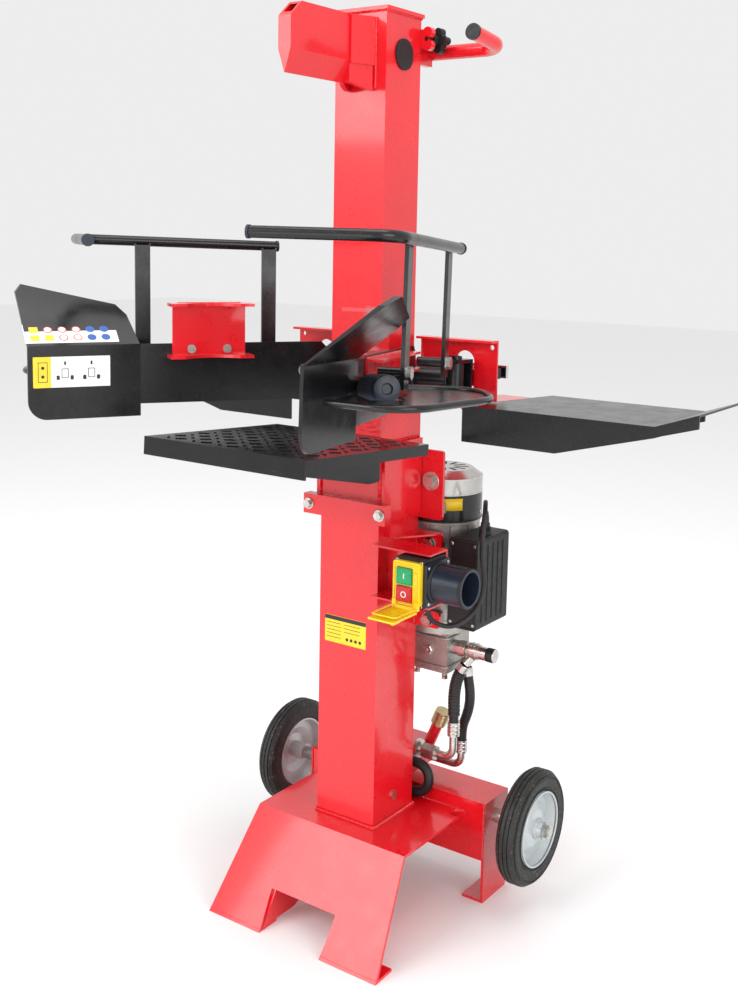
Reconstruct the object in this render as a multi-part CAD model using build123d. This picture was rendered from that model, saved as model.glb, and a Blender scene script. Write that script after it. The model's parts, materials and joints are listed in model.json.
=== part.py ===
from build123d import *
import os
from math import cos, degrees, sin, radians, tan

# Vertical electric log splitter.  Units are millimetres, +Z is up, +X is the
# operator's right and -Y is the front, where the operator stands.
# Shapes are drawn about the column's own axis and moved at the end by SHIFT_Y,
# so that the origin is the bottom centre of the whole splitter.

# ---------------------------------------------------------------- driving sizes
SHIFT_Y = 122.6        # column axis, measured from the origin

OUTER = 120.0          # outer column, square tube
OUTER_WALL = 4.0
OUTER_BOTTOM = 161.0
OUTER_TOP = 960.0
INNER = 100.0          # ram tube, square
INNER_WALL = 4.0
INNER_BOTTOM = 800.0
INNER_TOP = 1522.0
SLIDE_GAP = 0.3        # play of the plastic guide pads

PLATE = 5.0            # general sheet of the frame
BASE_FRONT_HALF = 176.0
BASE_TOP_HALF = 154.0
BASE_FRONT_Y = -213.0
BASE_TOP_Y = -105.0
BASE_REAR_Y = 92.0
FOOT_WIDTH = 113.0
FOOT_FLANGE = 46.0
NOTCH_TOP = 60.0

BEAM_HALF = 192.0      # rear axle beam
BEAM_FRONT_Y = 93.0
BEAM_REAR_Y = 175.0
BEAM_TOP = 184.0
BEAM_BOTTOM = 78.0

WHEEL_RADIUS = 100.0
WHEEL_WIDTH = 38.0
WHEEL_Y = 132.0
WHEEL_Z = 150.0
WHEEL_INNER_X = 242.0
AXLE_RADIUS = 8.0

TABLE_FRONT_Y = -380.0
TABLE_FRONT_Z = 858.0
TABLE_HALF = 156.0
TABLE_SLOPE = 3.4      # degrees, down towards the column

ARM_PIVOT_X = 150.0    # vertical pin that each arm swings on
ARM_PIVOT_Y = 20.0
LEVER_AXLE_Y = 100.0   # horizontal pin that each lever rocks on
LEVER_Z = 935.0
RIGHT_SWING = 18.6     # arm angles outward from straight ahead
LEFT_SWING = 34.4
RIGHT_LIFT = 1.8       # the right arm rests slightly raised

ARM_PLATE_B = -72.0    # arm plate, sideways from the swing pin
ARM_FOLD_A = 314.0     # where the arm plate ends and the paddle begins
ARM_TOP = 985.0
ARM_BOTTOM = 887.0
PADDLE_BOTTOM = 867.0
PADDLE_LENGTH = 180.0
PADDLE_TURN = 5.3      # degrees, towards the log

MOTOR_X = 64.0
MOTOR_Y = 137.0
MOTOR_RADIUS = 66.0

CYLINDER_RADIUS = 38.0
CYLINDER_BORE = 32.5
ROD_RADIUS = 17.5
FIT = 0.05             # radial running clearance of pins and rods


# ---------------------------------------------------------------- small helpers
def block(x0, x1, y0, y1, z0, z1):
    """A box between two corners."""
    return Pos((x0 + x1) / 2, (y0 + y1) / 2, (z0 + z1) / 2) * Box(x1 - x0, y1 - y0, z1 - z0)


def rod(axis, radius, start, length, hollow=0.0):
    """A round bar or tube from a start point along +X, +Y or +Z."""
    turn = {"x": Rot(0, 90, 0), "y": Rot(-90, 0, 0), "z": Rot(0, 0, 0)}[axis]
    bar = Cylinder(radius, length, align=(Align.CENTER, Align.CENTER, Align.MIN))
    if hollow:
        bar -= Cylinder(hollow, length, align=(Align.CENTER, Align.CENTER, Align.MIN))
    return Pos(*start) * (turn * bar)


def prism(points, plane, thickness):
    """A polygon in a plane, pushed out along the plane's normal."""
    return extrude(plane * make_face(Polyline(*points, close=True)), thickness)


def bent_bar(points, radii, radius):
    """A round bar along straight runs joined by arcs."""
    path = FilletPolyline(*points, radius=radii) if radii else Polyline(*points)
    start = Plane(origin=path @ 0, z_dir=path % 0)
    return sweep(start * Circle(radius), path=path)


def hexagon_bolt(axis, start, across, head, shank, shank_length, outward=1):
    """A hexagon head with a washer and a plain shank behind it."""
    turn = {"x": Rot(0, 90, 0), "y": Rot(90, 0, 0), "z": Rot(0, 0, 0)}[axis]
    parts = Pos(0, 0, 1.5) * extrude(RegularPolygon(across / 2, 6, major_radius=False), head)
    parts += Cylinder(across * 0.72, 1.5, align=(Align.CENTER, Align.CENTER, Align.MIN))
    if shank_length:
        parts += Pos(0, 0, -shank_length) * Cylinder(
            shank, shank_length, align=(Align.CENTER, Align.CENTER, Align.MIN))
    if outward < 0:
        turn = turn * Rot(180, 0, 0)
    return Pos(*start) * (turn * parts)


def side(shape, sign):
    """The shape itself, or its mirror image on the other side of the column."""
    return shape if sign > 0 else mirror(shape, about=Plane.YZ)


nodes = {}


def keep(name, *shapes):
    """Adds pieces to a node; separate pieces stay separate solids."""
    for shape in shapes:
        nodes.setdefault(name, []).extend(Pos(0, SHIFT_Y, 0) * s for s in shape.solids())


# ---------------------------------------------------------------- base and column
def base():
    rise = OUTER_BOTTOM
    front = prism([(-BASE_FRONT_HALF, 0), (-BASE_FRONT_HALF + FOOT_WIDTH, 0),
                   (-BASE_FRONT_HALF + FOOT_WIDTH - 6, NOTCH_TOP),
                   (BASE_FRONT_HALF - FOOT_WIDTH + 6, NOTCH_TOP),
                   (BASE_FRONT_HALF - FOOT_WIDTH, 0), (BASE_FRONT_HALF, 0),
                   (BASE_TOP_HALF, rise), (-BASE_TOP_HALF, rise)],
                  Plane((0, 0, 0), x_dir=(1, 0, 0), z_dir=(0, -1, 0)), 400)
    lean = BASE_TOP_Y - BASE_FRONT_Y
    sheet = prism([(BASE_FRONT_Y, 0), (BASE_FRONT_Y + PLATE * 1.2, 0),
                   (BASE_TOP_Y + PLATE * 1.2, rise), (BASE_TOP_Y, rise)],
                  Plane.YZ.offset(-250), 500)
    apron = front & sheet
    top = block(-BASE_TOP_HALF, BASE_TOP_HALF, BASE_TOP_Y, BASE_REAR_Y, rise - PLATE, rise)
    top -= rod("z", 14, (145, 78, rise - 20), 40)
    frame = apron + top
    for x0 in (-BASE_FRONT_HALF, BASE_FRONT_HALF - FOOT_WIDTH):
        frame += block(x0 + 0.2, x0 + FOOT_WIDTH - 0.2, BASE_FRONT_Y + 3,
                       BASE_FRONT_Y + FOOT_FLANGE, 0, PLATE)
    keep("base_frame", frame)

    webs = []
    slope = lean / rise
    inner = BASE_FRONT_HALF - FOOT_WIDTH
    for x in (-inner - PLATE, inner):
        y_low = BASE_FRONT_Y + PLATE * 1.2 + slope * PLATE + 0.5
        y_high = BASE_FRONT_Y + PLATE * 1.2 + slope * (rise - PLATE) + 0.5
        webs.append(prism([(y_low, PLATE), (BASE_FRONT_Y + FOOT_FLANGE + 50, PLATE),
                           (BASE_REAR_Y - 2, rise - 40), (BASE_REAR_Y - 2, rise - PLATE),
                           (y_high, rise - PLATE)], Plane.YZ.offset(x), PLATE))
    keep("base_frame", *webs)

    beam = block(-BEAM_HALF, BEAM_HALF, BEAM_FRONT_Y, BEAM_REAR_Y, BEAM_BOTTOM, BEAM_TOP)
    beam -= block(-BEAM_HALF - 1, BEAM_HALF + 1, BEAM_FRONT_Y + PLATE, BEAM_REAR_Y - PLATE,
                  BEAM_BOTTOM - 1, BEAM_TOP - PLATE)
    for sign in (-1, 1):
        leg = block(BEAM_HALF - PLATE, BEAM_HALF, BEAM_FRONT_Y, BEAM_REAR_Y, 0, BEAM_TOP)
        leg += block(BEAM_HALF - 42, BEAM_HALF, BEAM_FRONT_Y, BEAM_REAR_Y, 0, PLATE)
        beam += side(leg, sign)
    beam -= rod("x", AXLE_RADIUS, (-300, WHEEL_Y, WHEEL_Z), 600)
    keep("axle_beam", beam)
    end = WHEEL_INNER_X + WHEEL_WIDTH + 20
    keep("axle", rod("x", AXLE_RADIUS, (-end, WHEEL_Y, WHEEL_Z), 2 * end))
    for sign in (-1, 1):
        sleeve = rod("x", 12, (BEAM_HALF, WHEEL_Y, WHEEL_Z),
                     WHEEL_INNER_X - BEAM_HALF - 6.5, hollow=AXLE_RADIUS)
        nut = Pos(end - 9.5, WHEEL_Y, WHEEL_Z) * Rot(0, 90, 0) * extrude(
            RegularPolygon(11, 6, major_radius=False) - Circle(AXLE_RADIUS), 8)
        washer = rod("x", 15, (end - 11.5, WHEEL_Y, WHEEL_Z), 2, hollow=AXLE_RADIUS)
        keep("axle", side(sleeve, sign), side(nut, sign), side(washer, sign))


def columns():
    tube = block(-OUTER / 2, OUTER / 2, -OUTER / 2, OUTER / 2, OUTER_BOTTOM, OUTER_TOP)
    inside = OUTER / 2 - OUTER_WALL
    tube -= block(-inside, inside, -inside, inside, OUTER_BOTTOM - 1, OUTER_TOP + 1)
    tube -= rod("x", 8, (-OUTER, 0, 200), 2 * OUTER)
    keep("outer_column", tube)

    pad = inside - INNER / 2 - SLIDE_GAP
    fixed = []
    moving = []
    for turn in range(4):
        strip = block(-36, 36, -inside, -inside + pad, OUTER_TOP - 95, OUTER_TOP - 3)
        fixed.append(Rot(0, 0, 90 * turn) * strip)
        shoe = block(-36, 36, -INNER / 2 - pad, -INNER / 2, INNER_BOTTOM + 4, INNER_BOTTOM + 60)
        moving.append(Rot(0, 0, 90 * turn) * shoe)
    keep("column_guide_pads", *fixed)
    keep("ram_guide_shoes", *moving)

    half = INNER / 2
    bore = half - INNER_WALL
    ram = block(-half, half, -half, half, INNER_BOTTOM, INNER_TOP)
    ram -= block(-bore, bore, -bore, bore, INNER_BOTTOM - 1, INNER_TOP + 1)
    ram -= rod("x", 20, (-half - 1, 0, 1458), 2 * half + 2)
    keep("ram_tube", ram)
    keep("ram_tube", block(-54, 54, -54, 54, INNER_TOP, INNER_TOP + 6))
    plugs = []
    for sign in (-1, 1):
        plug = rod("x", 25, (half, 0, 1458), 2.5) + rod("x", 20, (half - 3, 0, 1458), 3)
        plugs.append(side(plug, sign))
    keep("ram_plugs", *plugs)


def wedge():
    nose = -243.0
    half = 12.0
    low = 1440.0
    outline = [(-half, low), (0, 1405), (half, low), (half, 1511), (-half, 1511)]
    body = prism(outline, Plane((0, -51, 0), x_dir=(1, 0, 0), z_dir=(0, -1, 0)), -nose - 51)
    body -= prism([(nose - 1, 1487), (nose + 27, 1512), (nose - 1, 1512)],
                  Plane.YZ.offset(-50), 100)
    hollow = prism([(-half + 4, low + 3), (half - 4, low + 3), (half - 4, 1507), (-half + 4, 1507)],
                   Plane((0, -50, 0), x_dir=(1, 0, 0), z_dir=(0, -1, 0)), -nose - 56)
    body -= hollow
    for sign in (-1, 1):
        wing = prism([(half - 0.5, -96), (half + 3, -96), (31, -50.2), (24, -50.2)],
                     Plane.XY.offset(low - 4), 75)
        tip = prism([(2, -96), (half, -96), (28, -50.2), (20, -50.2)], Plane.XY.offset(1398), 40)
        tip &= prism([(-97, 1436), (-97, 1408), (-50, 1394), (-50, 1436)], Plane.YZ.offset(0), 40)
        body += side(wing, sign)
        body += side(tip, sign)
    keep("splitting_wedge", body)


def transport_handle():
    half = 172.0
    y = 108.0
    z = 1474.0
    bar = bent_bar([(-half, 14, z + 12), (-half, y, z), (half, y, z), (half, 14, z + 12)],
                   [34, 34], 12)
    keep("transport_handle", bar)
    plugs = []
    for sign in (-1, 1):
        plugs.append(side(Pos(half, 13.9, z + 12) * Rot(82.7, 0, 0) * Cylinder(
            13, 4.5, align=(Align.CENTER, Align.CENTER, Align.MIN)), sign))
    keep("ram_plugs", *plugs)
    saddle = []
    for x in (-36, 24):
        lug = block(x, x + 12, 50, y, z - 22, z + 20)
        lug -= rod("x", 12, (x - 1, y, z), 14)
        saddle.append(lug)
    keep("transport_handle", *saddle)
    boss = block(50, 64, 47, 58, 1474, 1504) + rod("y", 9, (64, 47, 1479), 11)
    boss += rod("y", 9, (64, 47, 1499), 11)
    boss -= rod("y", 4 + FIT, (62, 40, 1489), 30)
    keep("transport_handle", boss)
    knob = rod("y", 4, (62, 50, 1489), 14) + rod("y", 9, (62, 60, 1489), 16)
    star = rod("y", 15, (62, 75, 1489), 15)
    for turn in range(5):
        lobe = rod("y", 6.5, (62 + 15 * cos(radians(72 * turn)), 75,
                              1489 + 15 * sin(radians(72 * turn))), 15)
        star += lobe
    keep("star_knob", knob + star)


# ---------------------------------------------------------------- hydraulics in the column
def cylinder():
    foot = 235.0
    top = 905.0
    barrel = rod("z", CYLINDER_RADIUS, (0, 0, foot), top - foot)
    barrel -= rod("z", CYLINDER_BORE, (0, 0, foot + 16), top - foot)
    lug = block(-14, 14, -22, 22, 182, foot) - rod("x", 8, (-20, 0, 200), 40)
    keep("cylinder_barrel", barrel + lug)
    keep("frame_pins", rod("x", 8, (-OUTER / 2 - 3, 0, 200), OUTER + 6))
    gland = rod("z", CYLINDER_BORE, (0, 0, top - 26), 26, hollow=ROD_RADIUS + FIT)
    gland += rod("z", CYLINDER_RADIUS, (0, 0, top), 8, hollow=ROD_RADIUS + FIT)
    keep("cylinder_barrel", gland)
    head = rod("z", ROD_RADIUS, (0, 0, 850), 640) - rod("x", 10, (-30, 0, 1458), 60)
    keep("piston_rod", head)
    keep("piston_rod", rod("z", CYLINDER_BORE - 0.08, (0, 0, 815), 35))
    keep("piston_rod", rod("x", 10, (-46, 0, 1458), 92))


# ---------------------------------------------------------------- table and its collar
def table():
    drop = tan(radians(TABLE_SLOPE))
    depth = -OUTER / 2 - 3 - TABLE_FRONT_Y
    tilt = Pos(0, TABLE_FRONT_Y, TABLE_FRONT_Z) * Rot(-TABLE_SLOPE, 0, 0)
    plate = block(-TABLE_HALF, TABLE_HALF, 0, depth, -4, 0)
    plate += block(-TABLE_HALF, TABLE_HALF, 0, 4, -28, 0)
    plate += block(-TABLE_HALF, -TABLE_HALF + 4, 0, depth, -18, 0)
    plate += block(TABLE_HALF - 4, TABLE_HALF, 0, depth, -18, 0)
    treads = []
    pitch = 26.0
    for i in range(11):
        for j in range(11):
            x = -TABLE_HALF + 26 + i * pitch
            y = 26 + j * pitch
            if y < depth - 14 and x < TABLE_HALF - 20:
                turn = 45 if (i + j) % 2 else -45
                treads.append(Pos(x, y, 0.7) * Rot(0, 0, turn) * Box(17, 4.5, 1.4))
    plate = plate + treads
    keep("splitting_table", tilt * plate)

    gussets = []
    for sign in (-1, 1):
        z_front = TABLE_FRONT_Z - 30
        rib = prism([(TABLE_FRONT_Y + 30, z_front - 2 - drop * 30), (-70, TABLE_FRONT_Z - drop * 310 - 6),
                     (-70, 768), (-100, 768)], Plane.YZ.offset(62), 5)
        gussets.append(side(rib, sign))
    cross = block(-61.5, 61.5, -90, -84, 775, 826)
    keep("splitting_table", *gussets, cross)
    inner = OUTER / 2
    collar = block(-84, 84, -78, -inner, 696, 730)
    for sign in (-1, 1):
        cheek = block(inner, inner + 10, -inner, 53, 696, 826)
        collar += side(cheek, sign)
    keep("table_collar", collar)
    bolts = []
    for sign in (-1, 1):
        bolts.append(side(hexagon_bolt("y", (73, -78, 713), 13, 6, 5, 0), sign))
    keep("frame_bolts", *bolts)


# ---------------------------------------------------------------- side brackets and tables
def side_supports(sign, word):
    inner = OUTER / 2
    plate = block(inner, 206, 60, 64, 899, 1000)
    slot = block(127, 163, 59, 65, 890, 962) + rod("y", 18, (145, 59, 962), 6)
    plate = plate - slot
    plate += block(inner, 206, 40, 64, 996, 1000)
    plate -= rod("y", 4, (196, 55, 988), 12)
    plate += block(172, 190, 60, 64, 880, 900)
    keep("guide_brackets", side(plate, sign))

    shelf = prism([(100, 64.3), (220, 64.3), (262, 205), (150, 205)], Plane.XY.offset(886), 5)
    shelf += prism([(60, 64.3), (100, 64.3), (150, 205), (138, 205)], Plane.XY.offset(886), 5)
    gusset = prism([(128, 886), (170, 845), (174, 886)], Plane.XZ.offset(-70), -4)
    arm = shelf + gusset
    keep("guide_brackets", side(arm, sign))

    top = 897.0
    tray = prism([(178, 0), (505, 0), (505, 213), (232, 213)], Plane.XY.offset(top - 3), 3)
    skirt = prism([(178, top - 3), (178, 838), (345, 838), (505, 880), (505, top - 3)],
                  Plane.XZ.offset(-4), 4)
    tray += skirt
    tray += Pos(0, 209, 0) * skirt - block(170, 228, 200, 230, 800, top - 3)
    lip = prism([(505, top - 3), (571, top + 20), (571, top + 23.5), (505, top)],
                Plane.XZ.offset(0), -213)
    end = prism([(505, top - 3), (505, 880), (516, 884), (571, 900), (571, top + 20)],
                Plane.XZ.offset(-4), 4)
    tray += lip + end
    keep("side_table_" + word, side(tray, sign))

    bolts = []
    for x, y in ((215, 90), (225, 180)):
        bolts.append(side(hexagon_bolt("z", (x + 15, y, 886), 13, 5, 3, 0, outward=-1), sign))
    keep("frame_bolts", *bolts)

    lugs = []
    for x in (128, 157):
        lug = block(x, x + 5, 64, 112, LEVER_Z - 14, LEVER_Z + 14)
        lug -= rod("x", 6, (x - 1, LEVER_AXLE_Y, LEVER_Z), 8)
        lugs.append(side(lug, sign))
    keep("guide_brackets", *lugs)
    keep("frame_pins", side(rod("x", 6, (122, LEVER_AXLE_Y, LEVER_Z), 46), sign))


# ---------------------------------------------------------------- levers and arms
def lever(sign, word, lift):
    place = Pos(0, LEVER_AXLE_Y, LEVER_Z) * Rot(-lift, 0, 0) * Pos(0, -LEVER_AXLE_Y, -LEVER_Z)
    x = ARM_PIVOT_X
    bar = block(x - 16, x + 4, ARM_PIVOT_Y + 26, 168, LEVER_Z - 9, LEVER_Z + 9)
    bar -= rod("x", 6 + FIT, (x - 20, LEVER_AXLE_Y, LEVER_Z), 30)
    fork = block(x - 16, x + 16, ARM_PIVOT_Y - 16, ARM_PIVOT_Y + 30, LEVER_Z - 31, LEVER_Z + 31)
    fork -= block(x - 20, x + 20, ARM_PIVOT_Y - 20, ARM_PIVOT_Y + 25, LEVER_Z - 25, LEVER_Z + 25)
    fork -= rod("z", 7, (x, ARM_PIVOT_Y, LEVER_Z - 40), 80)
    keep("lever_" + word, side(place * (bar + fork), sign))
    pin = rod("z", 7, (x, ARM_PIVOT_Y, LEVER_Z - 37), 74)
    pin += rod("z", 11, (x, ARM_PIVOT_Y, LEVER_Z + 31.3), 5)
    pin += rod("z", 10, (x, ARM_PIVOT_Y, LEVER_Z - 36.3), 5)
    keep("lever_" + word, side(place * pin, sign))


def arm(sign, word, swing, lift):
    """One operating arm.  It is drawn pointing straight ahead, for the right side."""
    press = Pos(0, LEVER_AXLE_Y, LEVER_Z) * Rot(-lift, 0, 0) * Pos(0, -LEVER_AXLE_Y, -LEVER_Z)
    turn = Pos(ARM_PIVOT_X, ARM_PIVOT_Y, 0) * Rot(0, 0, swing)

    def put(name, *shapes):
        keep(name + "_" + word, *[side(press * (turn * s), sign) for s in shapes])

    b = ARM_PLATE_B
    t = 5.0
    fold = -ARM_FOLD_A
    sleeve = rod("z", 15, (0, 0, LEVER_Z - 24.5), 49, hollow=7 + FIT)
    tube = rod("x", 16, (b + t / 2, 0, LEVER_Z), -b - t / 2 - 11)
    tube -= rod("z", 12, (0, 0, LEVER_Z - 30), 60)
    put("arm_plate", sleeve + tube)

    plate = block(b - t / 2, b + t / 2, fold, 10, ARM_BOTTOM, ARM_TOP)
    plate = chamfer(plate.edges().filter_by(Axis.X).sort_by(Axis.Y)[-2:], 14)
    bend = Pos(b, fold, 0) * Rot(0, 0, -PADDLE_TURN)
    paddle = block(-t / 2, t / 2, -PADDLE_LENGTH, 0, PADDLE_BOTTOM, ARM_TOP)
    corner = paddle.edges().filter_by(Axis.X).sort_by(Axis.Y)[0:2].sort_by(Axis.Z)[0]
    paddle = fillet(corner, 30)
    slant = 119 / 92
    flap = prism([(0, ARM_TOP - 2), (-PADDLE_LENGTH, ARM_TOP - 2), (-PADDLE_LENGTH, ARM_TOP + 80),
                  (-PADDLE_LENGTH + 12, ARM_TOP + 92), (-22, ARM_TOP + 60), (-8, ARM_TOP + 44)],
                 Plane.YZ.offset(-10), 200)
    leaf = prism([(-t / 2, ARM_TOP - 2), (t / 2, ARM_TOP - 2), (t / 2 + 94 * slant + 3, ARM_TOP + 92),
                  (t / 2 + 94 * slant - 3, ARM_TOP + 96)],
                 Plane((0, 0, 0), x_dir=(1, 0, 0), z_dir=(0, -1, 0)), PADDLE_LENGTH)
    put("arm_plate", plate + bend * (paddle + (flap & leaf)))

    rail = block(b + t / 2, b + t / 2 + 26, fold + 36, -62, 950, 980)
    rail -= block(b + t / 2 + 4, b + 60, fold + 30, -50, 954, 976)
    put("log_claw", rail)

    grip_start = (b + t / 2 + 1.5, fold + 24, 940)
    aim = radians(57)
    grip_end = (grip_start[0] + 112 * cos(aim), grip_start[1] - 112 * sin(aim), 950)
    axis_dir = Vector(*grip_end) - Vector(*grip_start)
    spot = Plane(origin=grip_start, z_dir=axis_dir)
    core = extrude(spot * Circle(11), 96) - block(b - 60, b + t / 2, -600, 0, 800, 1100)
    put("arm_plate", core)
    shell = extrude(Plane(origin=Vector(*grip_start) + axis_dir.normalized() * 34,
                          z_dir=axis_dir) * Circle(19.5), 78)
    shell -= extrude(spot * Circle(11), 96)
    put("grips", shell)

    hoop_z = 936.0
    hoop = FilletPolyline((b + t / 2 + 4, -466, hoop_z), (48, -504, hoop_z), (122, -300, hoop_z),
                          (74, -164, hoop_z), (b + t / 2 + 4, -244, hoop_z), radius=[62, 110, 62])
    rim = sweep(Plane(origin=hoop @ 0, z_dir=hoop % 0) * Circle(5), path=hoop)
    floor = make_face(hoop + Line(hoop @ 1, hoop @ 0))
    tray = extrude(floor, 2, dir=(0, 0, -1))
    hand_room = Pos(*grip_start) * Rot(0, 0, -degrees(aim)) * block(-40, 122, -26, 26, -20, 30)
    tray -= hand_room
    rim -= block(-200, b + t / 2, -600, 0, 900, 1000)
    put("hand_guard", rim + tray)

    z0 = 1143.5
    tube_r = 8.5
    tilt = 0.023
    near = -408.0
    path = [(14, -62, z0 + 62 * tilt), (6, near, z0 + 408 * tilt), (-197, near - 4, z0 + 408 * tilt)]
    put("log_guard", bent_bar(path, [42], tube_r))
    caps = rod("x", 9.5, (-201.6, near - 4, z0 + 408 * tilt), 4)
    caps2 = rod("y", 9.5, (14, -61.3, z0 + 62 * tilt), 4)
    put("grips", caps, caps2)
    posts = []
    bolts = []
    for a, bx in ((298, -6), (78, 0)):
        top = z0 + a * tilt - 6
        post = block(bx - 3, bx + 3, -a - 12.5, -a + 12.5, 942, top)
        posts.append(post)
        spacer = rod("x", 8, (b + t / 2 + 26, -a, 965), bx - 3 - (b + t / 2 + 26))
        posts.append(spacer)
        bolts.append(Pos(bx + 3, -a, 965) * Rot(0, 90, 0) * (
            extrude(RegularPolygon(8.5, 6, major_radius=False), 8)
            + Cylinder(10, 1.6, align=(Align.CENTER, Align.CENTER, Align.MIN))))
    put("log_guard", *posts)
    put("arm_bolts", *bolts)

    face = b - t / 2
    y0, y1 = -262.0, -140.0
    claw = block(face - 5, face, y0, y1, 962, 1052)
    for z in (962, 1047):
        jaw = block(face - 36, face, y0 - 8, y1 + 8, z, z + 5)
        jaw -= rod("z", 62, (face - 78, (y0 + y1) / 2, z - 1), 8)
        claw += jaw
    put("log_claw", claw)
    screws = []
    for y in ((y0 + y1) / 2 - 30, (y0 + y1) / 2 + 30):
        screws.append(Pos(face - 5, y, 976) * Rot(0, -90, 0) * Cylinder(
            7, 4, align=(Align.CENTER, Align.CENTER, Align.MIN)))
    root = Pos(face, -34, 936) * Rot(0, -90, 0) * (
        extrude(RegularPolygon(8.5, 6, major_radius=False), 7)
        + Cylinder(11, 2, align=(Align.CENTER, Align.CENTER, Align.MIN)))
    put("arm_bolts", *screws, root)


# ---------------------------------------------------------------- valve linkage
def linkage():
    valve = block(-52, 52, 76, 124, 880, 930)
    keep("control_valve", valve - rod("z", 9 + FIT, (0, 100, 870), 80))
    spool = rod("z", 9, (0, 100, 868), 82)
    feet = []
    for x in (-46, 36):
        feet.append(block(x, x + 10, OUTER / 2, 76, 885, 925))
    keep("control_valve", *feet)
    bar = block(-160, 160, 176, 184, 924, 946) + block(-12, 12, 92, 180, 946, 954)
    keep("valve_spool", spool + bar)


# ---------------------------------------------------------------- motor and pump
def motor():
    r = MOTOR_RADIUS
    x, y = MOTOR_X, MOTOR_Y
    body = rod("z", r - 1, (x, y, 492), 184)
    for k in range(12):
        groove = Rot(0, 0, 30 * k + 12) * block(r - 4, r + 5, -1.2, 1.2, 500, 676)
        body -= Pos(x, y, 0) * groove
    body -= rod("z", 42, (x, y, 500), 168)
    body -= rod("z", 11, (x, y, 480), 220)
    keep("motor_housing", body)
    cowl = rod("z", r + 2, (x, y, 676.3), 74) - rod("z", r - 1, (x, y, 670), 76)
    dome = Pos(x, y, 750.3) * Cone(r + 2, r - 16, 13, align=(Align.CENTER, Align.CENTER, Align.MIN))
    cowl = cowl + dome
    for k in range(12):
        cowl -= Pos(x, y, 0) * (Rot(0, 0, 30 * k) * block(18, 42, -3, 3, 740, 770))
    keep("fan_cowl", cowl)
    rotor = rod("z", 10.9, (x, y, 479), 249) + rod("z", 41.4, (x, y, 520), 130)
    rotor += rod("z", 6, (x, y, 440), 40)
    keep("motor_rotor", rotor)
    fan = rod("z", 22, (x, y, 690), 24)
    for k in range(8):
        fan += Pos(x, y, 0) * (Rot(0, 0, 45 * k) * block(20, 56, -1.5, 1.5, 690, 714))
    fan -= rod("z", 10.9, (x, y, 680), 60)
    keep("motor_rotor", fan)
    flange = rod("z", r - 4, (x, y, 474), 18) - rod("z", 12, (x, y, 470), 30)
    keep("motor_housing", flange)

    pump = block(x - 38, x + 38, y - 38, y + 38, 398, 474)
    pump -= block(x - 16, x + 16, y - 16, y + 35, 404, 468)
    pump -= rod("z", 6 + FIT, (x, y, 460), 20)
    keep("pump_body", pump)
    gears = []
    for dy, phase in ((0, 0), (22, 18)):
        gear = rod("z", 9.4, (x, y + dy, 420), 30)
        for k in range(10):
            tooth = block(9, 12.2, -1.3, 1.3, 420, 450)
            gear += Pos(x, y + dy, 0) * Rot(0, 0, 36 * k + phase) * tooth
        gears.append(gear)
    keep("motor_rotor", gears[0])
    keep("pump_driven_gear", gears[1])
    screws = []
    for dx in (-28, 28):
        for dy in (-28, 28):
            screws.append(rod("z", 5, (x + dx, y + dy, 392), 6))
    keep("pump_body", *screws)

    plates = []
    bolts = []
    for z0, z1 in ((686, 806), (622, 664), (494, 522)):
        tab = block(OUTER / 2, 112, 54, 60, z0, z1)
        tab = fillet(tab.edges().filter_by(Axis.Y).sort_by(Axis.X)[-2:], 6)
        plates.append(tab)
    for z, height in ((752, 0), (643, 0), (508, 0)):
        bolts.append(hexagon_bolt("y", (88, 54, z), 17, 8, 5, 0))
    keep("column_brackets", *plates)
    keep("frame_bolts", *bolts)
    straps = []
    for z in (694, 628, 498):
        lug = block(74, 104, 60, 80, z, z + 18) - rod("z", r + 2.4, (x, y, z - 1), 20)
        straps.append(lug)
    keep("motor_housing", *straps)

    case = block(134, 190, 44, 150, 508, 664)
    case = fillet(case.edges().filter_by(Axis.Y), 6)
    case -= block(139, 186, 49, 145, 514, 658)
    case += block(120, 134, 100, 174, 540, 630) - rod("z", r + 0.2, (x, y, 530), 120)
    keep("capacitor_box", case)
    keep("capacitor_box", rod("z", 19, (162, 96, 514), 120))
    gland = rod("z", 10, (172, 98, 664), 8) + rod("z", 8, (172, 98, 672), 11.8)
    keep("capacitor_box", gland)


def wheels():
    """Solid rubber tyres on pressed steel rims that turn on the fixed axle."""
    tread = WHEEL_RADIUS
    seat = 65.0
    x0 = WHEEL_INNER_X
    x1 = x0 + WHEEL_WIDTH
    section = [(x0 + 4, seat), (x1 - 4, seat), (x1 - 1, seat + 5), (x1, tread - 14),
               (x1 - 3, tread - 5), (x1 - 10, tread), (x0 + 10, tread), (x0 + 3, tread - 5),
               (x0, tread - 14), (x0 + 1, seat + 5)]
    tyre = revolve(make_face(Polyline(*section, close=True)), Axis.X)
    for k in (-8, 0, 8):
        tyre -= rod("x", tread + 1, ((x0 + x1) / 2 + k - 1, 0, 0), 2, hollow=tread - 2)
    mid = (x0 + x1) / 2 + 3
    profile = [(x0 + 3, seat), (x0 + 3, seat - 3), (mid - 3, seat - 9), (mid - 3, 44),
               (mid + 4, 30), (mid + 2, 16), (x0 - 5, 16), (x0 - 5, AXLE_RADIUS + FIT),
               (x1 + 8, AXLE_RADIUS + FIT), (x1 + 8, 13), (mid + 10, 17), (mid + 7, 31),
               (mid, 46), (mid, seat - 9), (x1 - 3, seat - 3), (x1 - 3, seat)]
    rim = revolve(make_face(Polyline(*profile, close=True)), Axis.X)
    for sign, word in ((1, "right"), (-1, "left")):
        keep("tyre_" + word, side(Pos(0, WHEEL_Y, WHEEL_Z) * tyre, sign))
        keep("rim_" + word, side(Pos(0, WHEEL_Y, WHEEL_Z) * rim, sign))


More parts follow.
